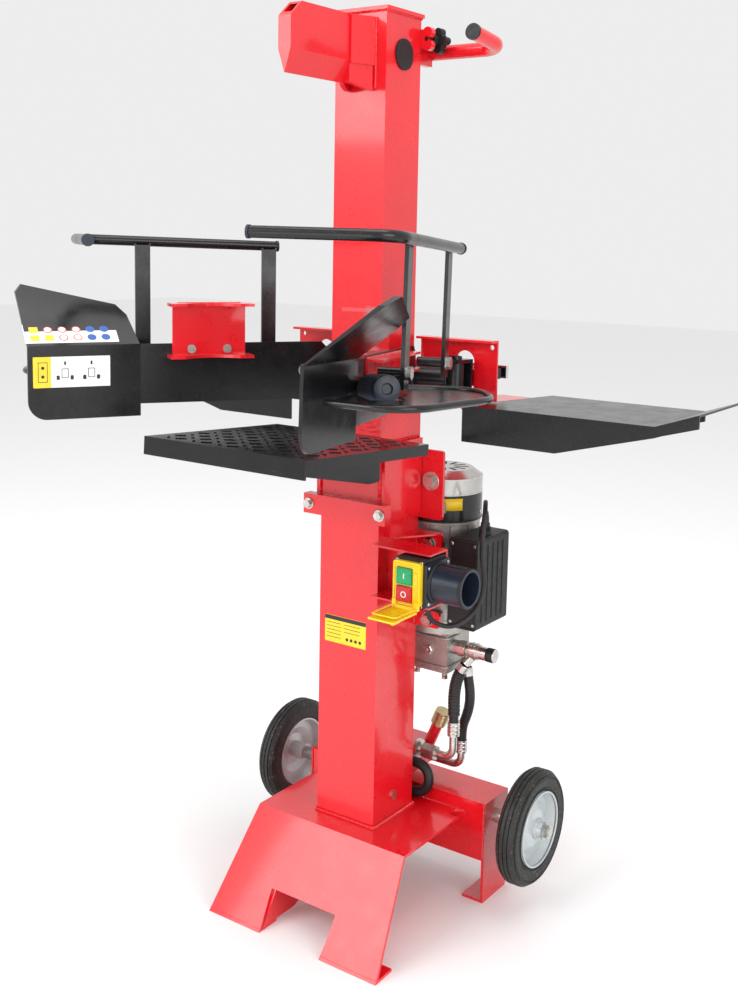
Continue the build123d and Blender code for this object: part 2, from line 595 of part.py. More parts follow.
# ---------------------------------------------------------------- switch and power inlet
def switch():
    x0, x1 = 118.0, 174.0
    front, rear = -96.0, -30.0
    low, high = 578.0, 658.0
    bracket = block(60, x1, rear, rear + 3, low - 4, high + 6)
    bracket += block(60, x1, front + 16, rear + 3, high + 3, high + 6)
    bracket += block(60, x1, front + 16, rear + 3, low - 4, low - 1)
    bracket -= rod("z", 6, (152, -48, low - 10), 12)
    bracket += prism([(60, rear + 3), (112, 54), (60, 54)], Plane.XY.offset(high + 3), 3)
    keep("column_brackets", bracket)

    box = block(x0, x1, front, rear, low, high)
    box = fillet(box.edges().filter_by(Axis.Y), 3)
    box -= block(x0 + 3, x1 - 3, front + 20, rear - 3, low + 3, high - 3)
    green = block(129, 157, front - 12, front + 14, 617, 644)
    red = block(129, 157, front - 12, front + 14, 589, 614)
    for button in (green, red):
        lo = button.bounding_box().min
        hi = button.bounding_box().max
        box -= block(lo.X - 0.4, hi.X + 0.4, front - 1, front + 19, lo.Z - 0.4, hi.Z + 0.4)
    keep("switch_box", box)
    keep("green_button", green)
    keep("red_button", red)
    frame = block(x0 + 2, x1 - 2, front - 8, front, low + 5, high - 4)
    frame = fillet(frame.edges().filter_by(Axis.Y), 5)
    frame -= block(128.6, 157.4, front - 9, front + 1, 616.6, 644.4)
    frame -= block(128.6, 157.4, front - 9, front + 1, 588.6, 614.4)
    hinge_y, hinge_z = front - 11.0, low + 1.0
    for x in (x0 + 4, x1 - 11):
        frame += block(x, x + 7, hinge_y - 1.5, front - 5, hinge_z - 1.5, low + 14)
    frame += rod("x", 1.5, (x0 + 6, hinge_y, hinge_z), x1 - x0 - 12)
    keep("switch_frame", frame)

    flap = block(x0 + 4, x1 - 4, hinge_y - 68, hinge_y - 2, hinge_z - 5, hinge_z - 2)
    flap += block(x0 + 12, x1 - 12, hinge_y - 3, hinge_y + 3, hinge_z - 5, hinge_z - 2)
    flap += rod("x", 3.2, (x0 + 12, hinge_y, hinge_z), x1 - x0 - 24)
    flap -= rod("x", 1.5 + FIT, (x0, hinge_y, hinge_z), x1 - x0)
    flap += rod("y", 6, ((x0 + x1) / 2 + 6, hinge_y - 44, hinge_z - 10), 14)
    keep("switch_flap", flap)

    y, z = -63.0, 617.0
    plate = block(x1, x1 + 6, y - 34, y + 34, z - 35, z + 35)
    plate = fillet(plate.edges().filter_by(Axis.X), 4)
    shell = plate + rod("x", 31, (x1 + 6, y, z), 60)
    shell -= rod("x", 27, (x1 + 12, y, z), 60)
    keep("power_inlet", shell)
    pins = []
    for dy, dz in ((-9, 6), (9, 6), (0, -10)):
        pins.append(rod("x", 3, (x1 + 12, y + dy, z + dz), 28))
    keep("power_inlet", *pins)


# ---------------------------------------------------------------- tank port, filler and hoses
def filler():
    port = block(-24, PORT_RIGHT, OUTER / 2, 160, 200, 250)
    keep("column_brackets", port)
    place = Pos(38, 140, 227) * Rot(0, 23, 0)
    neck = place * Cylinder(10.5, 75, align=(Align.CENTER, Align.CENTER, Align.MIN))
    keep("filler_neck", neck - port)
    cap = place * (Pos(0, 0, 62) * Cylinder(13.6, 28, align=(Align.CENTER, Align.CENTER, Align.MIN)))
    cap -= place * Cylinder(10.5 + 4 * FIT, 75.4, align=(Align.CENTER, Align.CENTER, Align.MIN))
    keep("filler_cap", cap)


def cord(name, points, radius):
    """A round cord along straight runs joined by arcs as large as the runs allow."""
    spots = [Vector(*p) for p in points]
    runs = [b - a for a, b in zip(spots, spots[1:])]
    radii = []
    for a, b in zip(runs, runs[1:]):
        half_turn = radians(a.get_angle(b)) / 2
        radii.append(0.45 * min(a.length, b.length) / tan(half_turn))
    path = FilletPolyline(*points, radius=radii)
    tube = sweep(Plane(origin=path @ 0, z_dir=path % 0) * Circle(radius), path=path)
    true_volume = 3.14159 * radius ** 2 * path.length
    print(name, "length", round(path.length), "tightest", round(min(radii)),
          "volume ratio", round(tube.volume / true_volume, 4))
    keep(name, tube)


PRESSURE_HOSE = [(133, 108, 418), (124, 107, 403), (117, 107, 383), (114, 107, 358),
                 (115, 107, 334), (115, 107, 312)]
TANK_HOSE = [(123, 134, 404), (126, 136, 384), (129, 138, 360), (127, 141, 334),
             (118, 145, 308), (107, 150, 285), (107, 150, 262)]
RETURN_HOSE = [(46, 86, 226), (63, 86, 226), (77, 85, 216), (82, 83.5, 200), (77, 82, 184),
               (63, 80, 174), (30, 78, 173), (-12, 78, 174)]
PORT_RIGHT = 40.0      # right face of the tank port block
MOTOR_CABLE = [(172, 98, 684), (172, 97, 702), (177, 88, 719), (186, 72, 728), (196, 54, 722),
               (203, 40, 704), (205, 33, 680), (204, 32, 655), (203, 38, 630), (203, 46, 605),
               (201, 48, 579), (196, 40, 555), (187, 24, 537), (176, 2, 527), (165, -20, 530),
               (155, -41, 543), (152, -48, 558), (152, -48, 577.9)]


def pipe(points, radius, bends=None):
    """A short steel pipe from one fitting to the next."""
    if bends:
        return bent_bar(points, bends, radius)
    line = Line(*points)
    return sweep(Plane(origin=line @ 0, z_dir=line % 0) * Circle(radius), path=line)


def hoses():
    y = 120.0
    z = 444.0
    rings = rod("x", 14.5, (117.5, y, z), 15) + rod("x", 14.5, (137.5, y, z), 16)
    rings += rod("x", 9, (132, y, z), 6)
    rings += pipe([(125, 122, 436), (123.2, 132.4, 407.5)], 6.5)
    rings += pipe([(145.5, 119, 436), (134.4, 108.9, 420.5)], 7)
    rings -= rod("x", 14.5, (100, y, z), 17.5)
    keep("hose_fittings", rod("x", 13, (102, y, z), 15.5), rings,
         rod("x", 13, (153.5, y, z), 4), rod("x", 12, (157.5, y, z), 30))

    y = 107.0
    z = 243.0
    keep("hose_fittings", rod("x", 17, (PORT_RIGHT, y, z), 7))
    front = pipe([(PORT_RIGHT + 7, y, z), (115, y, z), (115, y, 290)], 7, [20])
    front += rod("z", 11, (115, y, 286), 25.8)
    front += Pos(54, y, z) * Rot(0, 90, 0) * extrude(RegularPolygon(12, 6, major_radius=False), 26)
    keep("hose_fittings", front)
    rear = pipe([(PORT_RIGHT, 150, 212), (107, 150, 212), (107, 150, 244)], 7, [18])
    rear += rod("z", 10.5, (107, 150, 238), 23.8)
    keep("hose_fittings", rear)
    keep("hose_fittings", rod("x", 11, (PORT_RIGHT, 86, 226), 5.8))
    elbow = pipe([(-40, OUTER / 2, 174), (-40, 78, 174), (-20, 78, 174)], 7, [11])
    keep("hose_fittings", elbow + rod("y", 12, (-40, OUTER / 2, 174), 4)
         + rod("x", 10.5, (-24, 78, 174), 11.8))
    cord("pressure_hose", PRESSURE_HOSE, 8.5)
    cord("tank_hose", TANK_HOSE, 9)
    cord("return_hose", RETURN_HOSE, 9)
    cord("motor_cable", MOTOR_CABLE, 4)


def build():
    base()
    columns()
    wedge()
    transport_handle()
    cylinder()
    table()
    for sign, word in ((1, "right"), (-1, "left")):
        side_supports(sign, word)
    lever(1, "right", RIGHT_LIFT)
    lever(-1, "left", 0)
    arm(1, "right", RIGHT_SWING, RIGHT_LIFT)
    arm(-1, "left", LEFT_SWING, 0)
    linkage()
    motor()
    wheels()
    switch()
    filler()
    hoses()


build()
os.makedirs("parts", exist_ok=True)
for name, solids in nodes.items():
    shape = solids[0] if len(solids) == 1 else Compound(children=solids)
    export_step(shape, "parts/" + name + ".step")
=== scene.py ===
import json
import math
import random
import bmesh
import bpy
from mathutils import Matrix, Vector


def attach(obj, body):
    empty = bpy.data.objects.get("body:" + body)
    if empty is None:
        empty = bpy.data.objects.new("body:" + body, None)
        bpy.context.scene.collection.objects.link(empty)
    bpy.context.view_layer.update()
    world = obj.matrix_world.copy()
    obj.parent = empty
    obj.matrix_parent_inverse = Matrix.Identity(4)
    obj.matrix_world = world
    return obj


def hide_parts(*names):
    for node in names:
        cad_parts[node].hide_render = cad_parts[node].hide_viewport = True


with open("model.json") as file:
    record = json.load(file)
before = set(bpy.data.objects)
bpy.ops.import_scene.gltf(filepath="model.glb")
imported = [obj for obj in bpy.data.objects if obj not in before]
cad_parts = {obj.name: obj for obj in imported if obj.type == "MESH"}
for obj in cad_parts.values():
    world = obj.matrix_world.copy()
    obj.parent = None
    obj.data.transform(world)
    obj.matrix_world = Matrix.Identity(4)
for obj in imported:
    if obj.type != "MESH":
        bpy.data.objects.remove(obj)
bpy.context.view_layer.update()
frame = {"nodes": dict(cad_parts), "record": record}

nodes = frame["nodes"]
scene = bpy.context.scene
collection = scene.collection

SHIFT_Y = 0.1226          # column axis, measured from the frame's origin, in metres
MM = 0.001


def at(x, y, z):
    """A point of the frame, from millimetres about the column's own axis."""
    return Vector((x * MM, y * MM + SHIFT_Y, z * MM))


# ---------------------------------------------------------------- camera
def camera():
    turn = math.radians(35.224)
    dip = math.radians(7.265)
    roll = math.radians(1.032)
    ahead = Vector((-math.sin(turn), math.cos(turn), 0))
    forward = math.cos(dip) * ahead - math.sin(dip) * Vector((0, 0, 1))
    up = math.cos(dip) * Vector((0, 0, 1)) + math.sin(dip) * ahead
    right = Vector((math.cos(turn), math.sin(turn), 0))
    right_rolled = math.cos(roll) * right + math.sin(roll) * up
    up_rolled = math.cos(roll) * up - math.sin(roll) * right
    data = bpy.data.cameras.new("camera")
    data.lens = 44.0
    data.sensor_width = 36.0
    data.shift_y = -0.1069
    data.clip_start = 0.05
    data.clip_end = 200
    eye = bpy.data.objects.new("camera", data)
    basis = Matrix((right_rolled, up_rolled, -forward)).transposed()
    eye.matrix_world = Matrix.Translation(at(1168.1, -1664.35, 1168.8)) @ basis.to_4x4()
    collection.objects.link(eye)
    scene.camera = eye


camera()


# ---------------------------------------------------------------- materials
def principled(name):
    material = bpy.data.materials.new(name)
    material.use_nodes = True
    tree = material.node_tree
    return material, tree, tree.nodes["Principled BSDF"]


def noise(tree, scale, detail=3.0, rough=0.5, stretch=None):
    """A noise texture in metres of the object's own space."""
    coordinates = tree.nodes.new("ShaderNodeTexCoord")
    texture = tree.nodes.new("ShaderNodeTexNoise")
    texture.inputs["Scale"].default_value = scale
    texture.inputs["Detail"].default_value = detail
    texture.inputs["Roughness"].default_value = rough
    source = coordinates.outputs["Object"]
    if stretch:
        mapping = tree.nodes.new("ShaderNodeMapping")
        mapping.inputs["Scale"].default_value = stretch
        tree.links.new(source, mapping.inputs["Vector"])
        source = mapping.outputs["Vector"]
    tree.links.new(source, texture.inputs["Vector"])
    return texture.outputs["Fac"]


def spread(tree, value, low, high, start=0.3, end=0.7):
    """Maps a noise value to a range of numbers."""
    node = tree.nodes.new("ShaderNodeMapRange")
    node.inputs["From Min"].default_value = start
    node.inputs["From Max"].default_value = end
    node.inputs["To Min"].default_value = low
    node.inputs["To Max"].default_value = high
    tree.links.new(value, node.inputs["Value"])
    return node.outputs["Result"]


def blend_colours(tree, value, first, second):
    node = tree.nodes.new("ShaderNodeMix")
    node.data_type = "RGBA"
    tree.links.new(value, node.inputs["Factor"])
    for socket, colour in ((node.inputs[6], first), (node.inputs[7], second)):
        if hasattr(colour, "is_linked"):
            tree.links.new(colour, socket)
        else:
            socket.default_value = (*colour, 1)
    return node.outputs[2]


def bump(tree, shader, height, strength, distance):
    node = tree.nodes.new("ShaderNodeBump")
    node.inputs["Strength"].default_value = strength
    node.inputs["Distance"].default_value = distance
    tree.links.new(height, node.inputs["Height"])
    tree.links.new(node.outputs["Normal"], shader.inputs["Normal"])


def finish(name, colour, rough, metallic=0.0, coat=0.0, vary=0.12, patch=7.0, grain=900.0,
           strength=0.15, depth=0.0002, specular=0.5, stretch=None, speck=None):
    """One surface: patchy colour, uneven gloss and a fine bump."""
    material, tree, shader = principled(name)
    dark = [c * (1 - vary) for c in colour]
    light = [min(1.0, c * (1 + vary)) for c in colour]
    patches = spread(tree, noise(tree, patch, 4.0, 0.6), 0, 1)
    tone = blend_colours(tree, patches, dark, light)
    if speck:
        flecks = spread(tree, noise(tree, speck[1], 2.0, 0.6), 0, 1, 0.62, 0.70)
        tone = blend_colours(tree, flecks, tone, speck[0])
    tree.links.new(tone, shader.inputs["Base Color"])
    gloss = spread(tree, noise(tree, patch * 5, 3.0, 0.6, stretch), rough * 0.8, rough * 1.25)
    tree.links.new(gloss, shader.inputs["Roughness"])
    shader.inputs["Metallic"].default_value = metallic
    shader.inputs["Coat Weight"].default_value = coat
    shader.inputs["Coat Roughness"].default_value = 0.08
    shader.inputs["Specular IOR Level"].default_value = specular
    bump(tree, shader, noise(tree, grain, 2.0, 0.5, stretch), strength, depth)
    return material


def banded(name, lower, upper, height):
    """Two finishes on one turned part, split at a height in metres."""
    material, tree, shader = principled(name)
    coordinates = tree.nodes.new("ShaderNodeTexCoord")
    axes = tree.nodes.new("ShaderNodeSeparateXYZ")
    tree.links.new(coordinates.outputs["Object"], axes.inputs["Vector"])
    step = spread(tree, axes.outputs["Z"], 0, 1, height - 0.0004, height + 0.0004)
    cloud = spread(tree, noise(tree, 30, 4.0), 0, 1)
    upper_tone = blend_colours(tree, cloud, upper, [c * 0.8 for c in upper])
    tone = blend_colours(tree, step, lower, upper_tone)
    tree.links.new(tone, shader.inputs["Base Color"])
    tree.links.new(step, shader.inputs["Metallic"])
    shader.inputs["Roughness"].default_value = 0.24
    bump(tree, shader, noise(tree, 700), 0.1, 0.0002)
    return material


def make_materials():
    paint = dict(coat=0.7, grain=420.0, strength=0.10, depth=0.0003)
    return {
        "red_paint": finish("red_paint", (0.74, 0.004, 0.012), 0.30, vary=0.07, specular=0.4, **paint),
        "black_paint": finish("black_paint", (0.008, 0.008, 0.009), 0.22, vary=0.3, specular=0.4,
                              grain=380.0, strength=0.12, depth=0.0003,
                              speck=((0.02, 0.02, 0.021), 260.0)),
        "zinc": finish("zinc", (0.60, 0.59, 0.56), 0.30, metallic=1.0, vary=0.18, patch=90.0,
                       grain=1500.0, strength=0.2, depth=0.0001),
        "ground_steel": finish("ground_steel", (0.74, 0.74, 0.76), 0.12, metallic=1.0, vary=0.05,
                               grain=2500.0, stretch=(1, 1, 0.05)),
        "grey_cast": finish("grey_cast", (0.40, 0.385, 0.36), 0.42, metallic=0.75, vary=0.16,
                            patch=40.0, grain=1300.0, strength=0.45, depth=0.0003,
                            speck=((0.24, 0.22, 0.19), 300.0)),
        "black_plastic": finish("black_plastic", (0.012, 0.012, 0.013), 0.48, vary=0.25,
                                patch=30.0, grain=1800.0, strength=0.35, depth=0.0002,
                                specular=0.35),
        "grip_plastic": finish("grip_plastic", (0.012, 0.018, 0.034), 0.36, vary=0.2, patch=30.0,
                               grain=1500.0, strength=0.2, specular=0.45),
        "yellow_plastic": finish("yellow_plastic", (0.90, 0.58, 0.006), 0.30, vary=0.06,
                                 patch=40.0, grain=900.0, strength=0.12),
        "green_plastic": finish("green_plastic", (0.006, 0.33, 0.11), 0.28, vary=0.08, patch=60.0),
        "red_plastic": finish("red_plastic", (0.58, 0.012, 0.02), 0.28, vary=0.08, patch=60.0),
        "white_plastic": finish("white_plastic", (0.80, 0.80, 0.77), 0.45, vary=0.04, patch=50.0),
        "rubber_black": finish("rubber_black", (0.014, 0.014, 0.015), 0.45, vary=0.3, patch=60.0,
                               grain=1600.0, strength=0.35, specular=0.4),
        "tyre_black": finish("tyre_black", (0.018, 0.018, 0.017), 0.55, vary=0.3, patch=45.0,
                             grain=1100.0, strength=0.5, depth=0.0003, specular=0.4,
                             speck=((0.10, 0.095, 0.085), 210.0)),
        "brass": finish("brass", (0.60, 0.47, 0.27), 0.32, metallic=1.0, vary=0.18, patch=80.0),
        "rim_paint": finish("rim_paint", (0.52, 0.56, 0.57), 0.34, metallic=0.35, vary=0.06,
                            patch=30.0, grain=700.0, coat=0.3),
        "cowl": banded("cowl", (0.010, 0.010, 0.011), (0.62, 0.60, 0.57), 0.7235),
        "label_white": finish("label_white", (0.86, 0.86, 0.85), 0.35, vary=0.03, patch=60.0),
        "label_yellow": finish("label_yellow", (0.90, 0.62, 0.02), 0.35, vary=0.05, patch=60.0),
        "label_black": finish("label_black", (0.012, 0.012, 0.012), 0.35, vary=0.2, patch=60.0),
        "label_red": finish("label_red", (0.62, 0.02, 0.02), 0.35, vary=0.08, patch=60.0),
        "label_blue": finish("label_blue", (0.02, 0.10, 0.42), 0.35, vary=0.08, patch=60.0),
    }


paints = make_materials()


# ---------------------------------------------------------------- mesh helpers
def piece(name, mesh, body, slot, paint=None, smooth=True, bevel=0.0):
    """Turns a bmesh into a named piece that rides on a body."""
    bmesh.ops.recalc_face_normals(mesh, faces=mesh.faces)
    data = bpy.data.meshes.new(name)
    mesh.to_mesh(data)
    mesh.free()
    shape = bpy.data.objects.new(name, data)
    collection.objects.link(shape)
    if smooth:
        for polygon in data.polygons:
            polygon.use_smooth = True
    data.materials.append(paints[paint or slot])
    if bevel:
        soften(shape, bevel)
    elif smooth:
        edge_split(shape)
    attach(shape, body)
    return shape


def edge_split(shape):
    split = shape.modifiers.new("edges", "EDGE_SPLIT")
    split.split_angle = math.radians(38)


def soften(shape, width, segments=2):
    """Rounds the hard edges a little, so that they catch the light."""
    rounding = shape.modifiers.new("rounding", "BEVEL")
    rounding.width = width
    rounding.segments = segments
    rounding.limit_method = "ANGLE"
    rounding.angle_limit = math.radians(40)
    rounding.harden_normals = True
    rounding.use_clamp_overlap = True


def lathe(profile, steps=40):
    """A turned shape about Z from (radius, height) points."""
    mesh = bmesh.new()
    rings = []
    for radius, height in profile:
        if radius < 1e-7:
            rings.append([mesh.verts.new((0, 0, height))])
            continue
        rings.append([mesh.verts.new((radius * math.cos(2 * math.pi * k / steps),
                                      radius * math.sin(2 * math.pi * k / steps), height))
                      for k in range(steps)])
    for low, high in zip(rings, rings[1:]):
        for k in range(steps):
            j = (k + 1) % steps
            if len(low) == 1 and len(high) == 1:
                continue
            if len(low) == 1:
                mesh.faces.new((low[0], high[j], high[k]))
            elif len(high) == 1:
                mesh.faces.new((low[k], low[j], high[0]))
            else:
                mesh.faces.new((low[k], low[j], high[j], high[k]))
    return mesh


def slab(outline, thickness):
    """A flat sheet from an outline in XY, with its back at Z 0."""
    mesh = bmesh.new()
    low = [mesh.verts.new((x, y, 0)) for x, y in outline]
    high = [mesh.verts.new((x, y, thickness)) for x, y in outline]
    count = len(outline)
    mesh.faces.new(low)
    mesh.faces.new(high)
    for k in range(count):
        j = (k + 1) % count
        mesh.faces.new((low[k], low[j], high[j], high[k]))
    return mesh


def rounded(width, height, radius, steps=5):
    """A rectangle's outline with round corners, about its centre."""
    points = []
    for cx, cy, start in ((1, 1, 0), (-1, 1, 90), (-1, -1, 180), (1, -1, 270)):
        for k in range(steps + 1):
            angle = math.radians(start + 90 * k / steps)
            points.append((cx * (width / 2 - radius) + radius * math.cos(angle),
                           cy * (height / 2 - radius) + radius * math.sin(angle)))
    return points


def disc(radius, steps=24):
    return [(radius * math.cos(2 * math.pi * k / steps), radius * math.sin(2 * math.pi * k / steps))
            for k in range(steps)]


def facing(normal, up=(0, 0, 1)):
    """A turn that sends Z to a normal and Y as near as it can to up."""
    z = Vector(normal).normalized()
    x = Vector(up).cross(z)
    if x.length < 1e-6:
        x = Vector((1, 0, 0))
    x.normalize()
    y = z.cross(x)
    return Matrix((x, y, z)).transposed().to_4x4()


def moved(mesh, matrix):
    bmesh.ops.transform(mesh, matrix=matrix, verts=mesh.verts)
    return mesh


def join(meshes):
    """Several bmeshes as one."""
    whole = bmesh.new()
    for mesh in meshes:
        data = bpy.data.meshes.new("part")
        mesh.to_mesh(data)
        mesh.free()
        whole.from_mesh(data)
        bpy.data.meshes.remove(data)
    return whole


def tube(path, radius, steps=12, closed=False):
    """A tube along points; radius is a number or a function of 0 to 1 along it."""
    mesh = bmesh.new()
    count = len(path)
    rings = []
    side = None
    for k, point in enumerate(path):
        before = path[k - 1] if k or closed else path[0]
        after = path[(k + 1) % count] if k < count - 1 or closed else path[-1]
        along = (after - before).normalized()
        if side is None:
            side = along.orthogonal().normalized()
        side = (side - along * side.dot(along)).normalized()
        other = along.cross(side)
        size = radius(k / (count - 1)) if callable(radius) else radius
        rings.append([mesh.verts.new(point + size * (math.cos(a) * side + math.sin(a) * other))
                      for a in (2 * math.pi * j / steps for j in range(steps))])
    for k in range(count if closed else count - 1):
        low, high = rings[k], rings[(k + 1) % count]
        for j in range(steps):
            i = (j + 1) % steps
            mesh.faces.new((low[j], low[i], high[i], high[j]))
    if not closed:
        mesh.faces.new(rings[0])
        mesh.faces.new(rings[-1])
    return mesh


# ---------------------------------------------------------------- cords
ROUTES = {
    "pressure_hose": [(133, 108, 418), (124, 107, 403), (117, 107, 383), (114, 107, 358),
                      (115, 107, 334), (115, 107, 312)],
    "tank_hose": [(123, 134, 404), (126, 136, 384), (129, 138, 360), (127, 141, 334),
                  (118, 145, 308), (107, 150, 285), (107, 150, 262)],
    "return_hose": [(46, 86, 226), (63, 86, 226), (77, 85, 216), (82, 83.5, 200), (77, 82, 184),
                    (63, 80, 174), (30, 78, 173), (-12, 78, 174)],
    "motor_cable": [(172, 98, 684), (172, 97, 702), (177, 88, 719), (186, 72, 728), (196, 54, 722),
                    (203, 40, 704), (205, 33, 680), (204, 32, 655), (203, 38, 630), (203, 46, 605),
                    (201, 48, 579), (196, 40, 555), (187, 24, 537), (176, 2, 527), (165, -20, 530),
                    (155, -41, 543), (152, -48, 558), (152, -48, 577.9)],
}


def route_curve(name, thick):
    """The route as one smooth curve, with the route's points as its control points."""
    points = [at(*spot) for spot in ROUTES[name]]
    data = bpy.data.curves.new(name + "_curve", "CURVE")
    data.dimensions = "3D"
    data.resolution_u = 16
    data.bevel_depth = thick
    data.bevel_resolution = 7
    data.use_fill_caps = True
    spline = data.splines.new("NURBS")
    spline.points.add(len(points) - 1)
    for knot, point in zip(spline.points, points):
        knot.co = (*point, 1)
    spline.order_u = 3
    spline.use_endpoint_u = True
    return bpy.data.objects.new(name + "_line", data)


def route_points(name):
    """Points read from the route's own spline."""
    bare = route_curve(name, 0.0)
    collection.objects.link(bare)
    line = bpy.data.meshes.new_from_object(bare)
    points = [vertex.co.copy() for vertex in line.vertices]
    bpy.data.objects.remove(bare)
    bpy.data.meshes.remove(line)
    return points


def free_cord(name, radius, extras=()):
    shape = route_curve(name, radius * MM)
    collection.objects.link(shape)
    shape.data.materials.append(paints["rubber_black"])
    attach(shape, "frame")
    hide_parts(name)


def hose_sleeve():
    """Ribbed rubber sleeve over the middle of the pressure hose."""
    points = route_points("pressure_hose")
    inner = points[int(len(points) * 0.10):int(len(points) * 0.93)]
    mesh = tube(inner, lambda t: (10.6 + 0.5 * math.sin(t * 90)) * MM, 24)
    return piece("pressure_hose_sleeve", mesh, "frame", "rubber_black")


free_cord("pressure_hose", 8.5, [hose_sleeve()])
free_cord("tank_hose", 9)
free_cord("return_hose", 9)
free_cord("motor_cable", 4)


# ---------------------------------------------------------------- finish of the CAD pieces
def dress_nodes():
    paint_of = {"fan_cowl": "cowl", "rim_left": "rim_paint", "rim_right": "rim_paint"}
    plain = {"pressure_hose", "tank_hose", "return_hose", "motor_cable", "motor_rotor"}
    for part in frame["record"]["subparts"]:
        node = nodes[part["node"]]
        paint = paints[paint_of.get(part["node"], part["material_slot"])]
        for holder in node.material_slots:
            holder.link = "OBJECT"
            holder.material = paint
        if part["node"] not in plain:
            rounding = node.modifiers.new("rounding", "BEVEL")
            rounding.width = 0.0007
            rounding.segments = 2
            rounding.limit_method = "ANGLE"
            rounding.angle_limit = math.radians(42)
            rounding.harden_normals = True
            rounding.use_clamp_overlap = False


dress_nodes()


# ---------------------------------------------------------------- placing pieces
WORLD = Matrix.Translation((0, SHIFT_Y, 0)) @ Matrix.Scale(MM, 4)
RIGHT_SWING, LEFT_SWING, RIGHT_LIFT = 18.6, 34.4, 1.8
ARM_PLATE_B, ARM_FOLD_A, PADDLE_TURN = -72.0, 314.0, 5.3


def put(name, mesh, spot, normal, body, slot, paint=None, up=(0, 0, 1), space=None, **looks):
    """Places a mesh made about Z 0 at a spot, in millimetres, with Z along a normal."""
    whole = WORLD @ (space or Matrix.Identity(4)) @ Matrix.Translation(spot) @ facing(normal, up)
    return piece(name, moved(mesh, whole), body, slot, paint, **looks)


def run(name, points, radius, body, slot, paint=None, space=None, closed=False, steps=10):
    """A thin tube through points given in millimetres."""
    whole = WORLD @ (space or Matrix.Identity(4))
    path = [whole @ Vector(point) for point in points]
    if callable(radius):
        size = lambda t: radius(t) * MM
    else:
        size = radius * MM
    return piece(name, tube(path, size, steps, closed), body, slot, paint)


def weld(name, corners, size, body, slot, space=None, pitch=3.2):
    """A weld bead along straight runs, with its ripples."""
    spots = []
    for first, last in zip(corners, corners[1:]):
        first, last = Vector(first), Vector(last)
        count = max(3, int((last - first).length / (pitch / 4)))
        spots += [first.lerp(last, k / count) for k in range(count)]
    spots.append(Vector(corners[-1]))
    dice = random.Random(name)
    uneven = [dice.uniform(-0.12, 0.12) for _ in range(len(spots) + 1)]
    total = len(spots) - 1

    def ripple(t):
        k = int(t * total + 0.5)
        return size * (1 + 0.16 * math.sin(k * math.pi / 2) + uneven[k // 3])

    return run(name, spots, ripple, body, slot, space=space, steps=8)


def arm_space(sign):
    """From an arm's own axes, as it points straight ahead, to the column's frame."""
    swing, lift = (RIGHT_SWING, RIGHT_LIFT) if sign > 0 else (LEFT_SWING, 0)
    rock = (Matrix.Translation((0, 100, 935)) @ Matrix.Rotation(math.radians(-lift), 4, "X")
            @ Matrix.Translation((0, -100, -935)))
    turn = Matrix.Translation((150, 20, 0)) @ Matrix.Rotation(math.radians(swing), 4, "Z")
    return Matrix.Scale(sign, 4, Vector((1, 0, 0))) @ rock @ turn


def paddle_space(sign):
    """The bent end of an arm: its face in the YZ plane, with its root at Y 0."""
    return (arm_space(sign) @ Matrix.Translation((ARM_PLATE_B, -ARM_FOLD_A, 0))
            @ Matrix.Rotation(math.radians(-PADDLE_TURN), 4, "Z"))


def mirror(sign):
    return Matrix.Scale(sign, 4, Vector((1, 0, 0)))


SIDES = ((1, "right"), (-1, "left"))


# ---------------------------------------------------------------- arms
def ring_line(spot, radius, axis, steps=36):
    """Points of a circle about an axis letter."""
    points = []
    for k in range(steps):
        c = radius * math.cos(2 * math.pi * k / steps)
        s = radius * math.sin(2 * math.pi * k / steps)
        offset = {"x": (0, c, s), "y": (c, 0, s), "z": (c, s, 0)}[axis]
        points.append(tuple(a + b for a, b in zip(spot, offset)))
    return points


def grip_pieces(sign, word, space):
    """Rings round the hand grip, and the round cap on its end."""
    body = "arm_" + word
    length = 112
    start = Vector((ARM_PLATE_B + 4, -ARM_FOLD_A + 24, 940))
    aim = math.radians(57)
    end = start + Vector((length * math.cos(aim), -length * math.sin(aim), 10))
    along = (end - start).normalized()
    rings = []
    for k in range(9):
        bead = lathe([(19.0, -1.1), (20.1, -0.6), (20.1, 0.6), (19.0, 1.1)], 40)
        spot = start + along * (41 + 7.6 * k)
        rings.append(moved(bead, Matrix.Translation(spot) @ facing(along)))
    cap = lathe([(18.0, -1), (19.4, 0.0), (18.4, 2.4), (14.5, 3.4), (8.2, 3.4), (7.2, 2.6),
                 (6.6, 0.4), (0, 0.4)], 40)
    rings.append(moved(cap, Matrix.Translation(start + along * length) @ facing(along)))
    piece("grip_rings_" + word, moved(join(rings), WORLD @ space), body, "grip_plastic")


def arm_welds(sign, word, space):
    body = "arm_" + word
    face = ARM_PLATE_B + 2.5
    run("hub_weld_" + word, ring_line((face + 0.5, 0, 935), 16.4, "x"), 2.2, body, "black_paint",
        space=space, closed=True)
    run("sleeve_weld_" + word, ring_line((-12, 0, 935), 15.2, "x"), 2.0, body, "black_paint",
        space=space, closed=True)
    weld("rail_weld_low_" + word, [(face + 0.6, -276, 949.6), (face + 0.6, -64, 949.6)], 1.6, body,
         "red_paint", space)
    weld("rail_weld_high_" + word, [(face + 0.6, -276, 980.4), (face + 0.6, -64, 980.4)], 1.6, body,
         "red_paint", space)
    for k, (a, x) in enumerate(((298, -6), (78, 0))):
        top = 1143.5 + a * 0.023 - 5
        for j, y in enumerate((-a - 12, -a + 12)):
            weld(f"post_weld_{word}_{k}_{j}", [(x - 3.2, y, top), (x + 3.2, y, top)], 1.8, body,
                 "black_paint", space)
    back = ARM_PLATE_B - 2.5
    for k, z in enumerate((962.5, 1051.5)):
        weld(f"jaw_weld_{word}_{k}", [(back - 5.4, -254, z), (back - 5.4, -148, z)], 1.5, body,
             "red_paint", space)


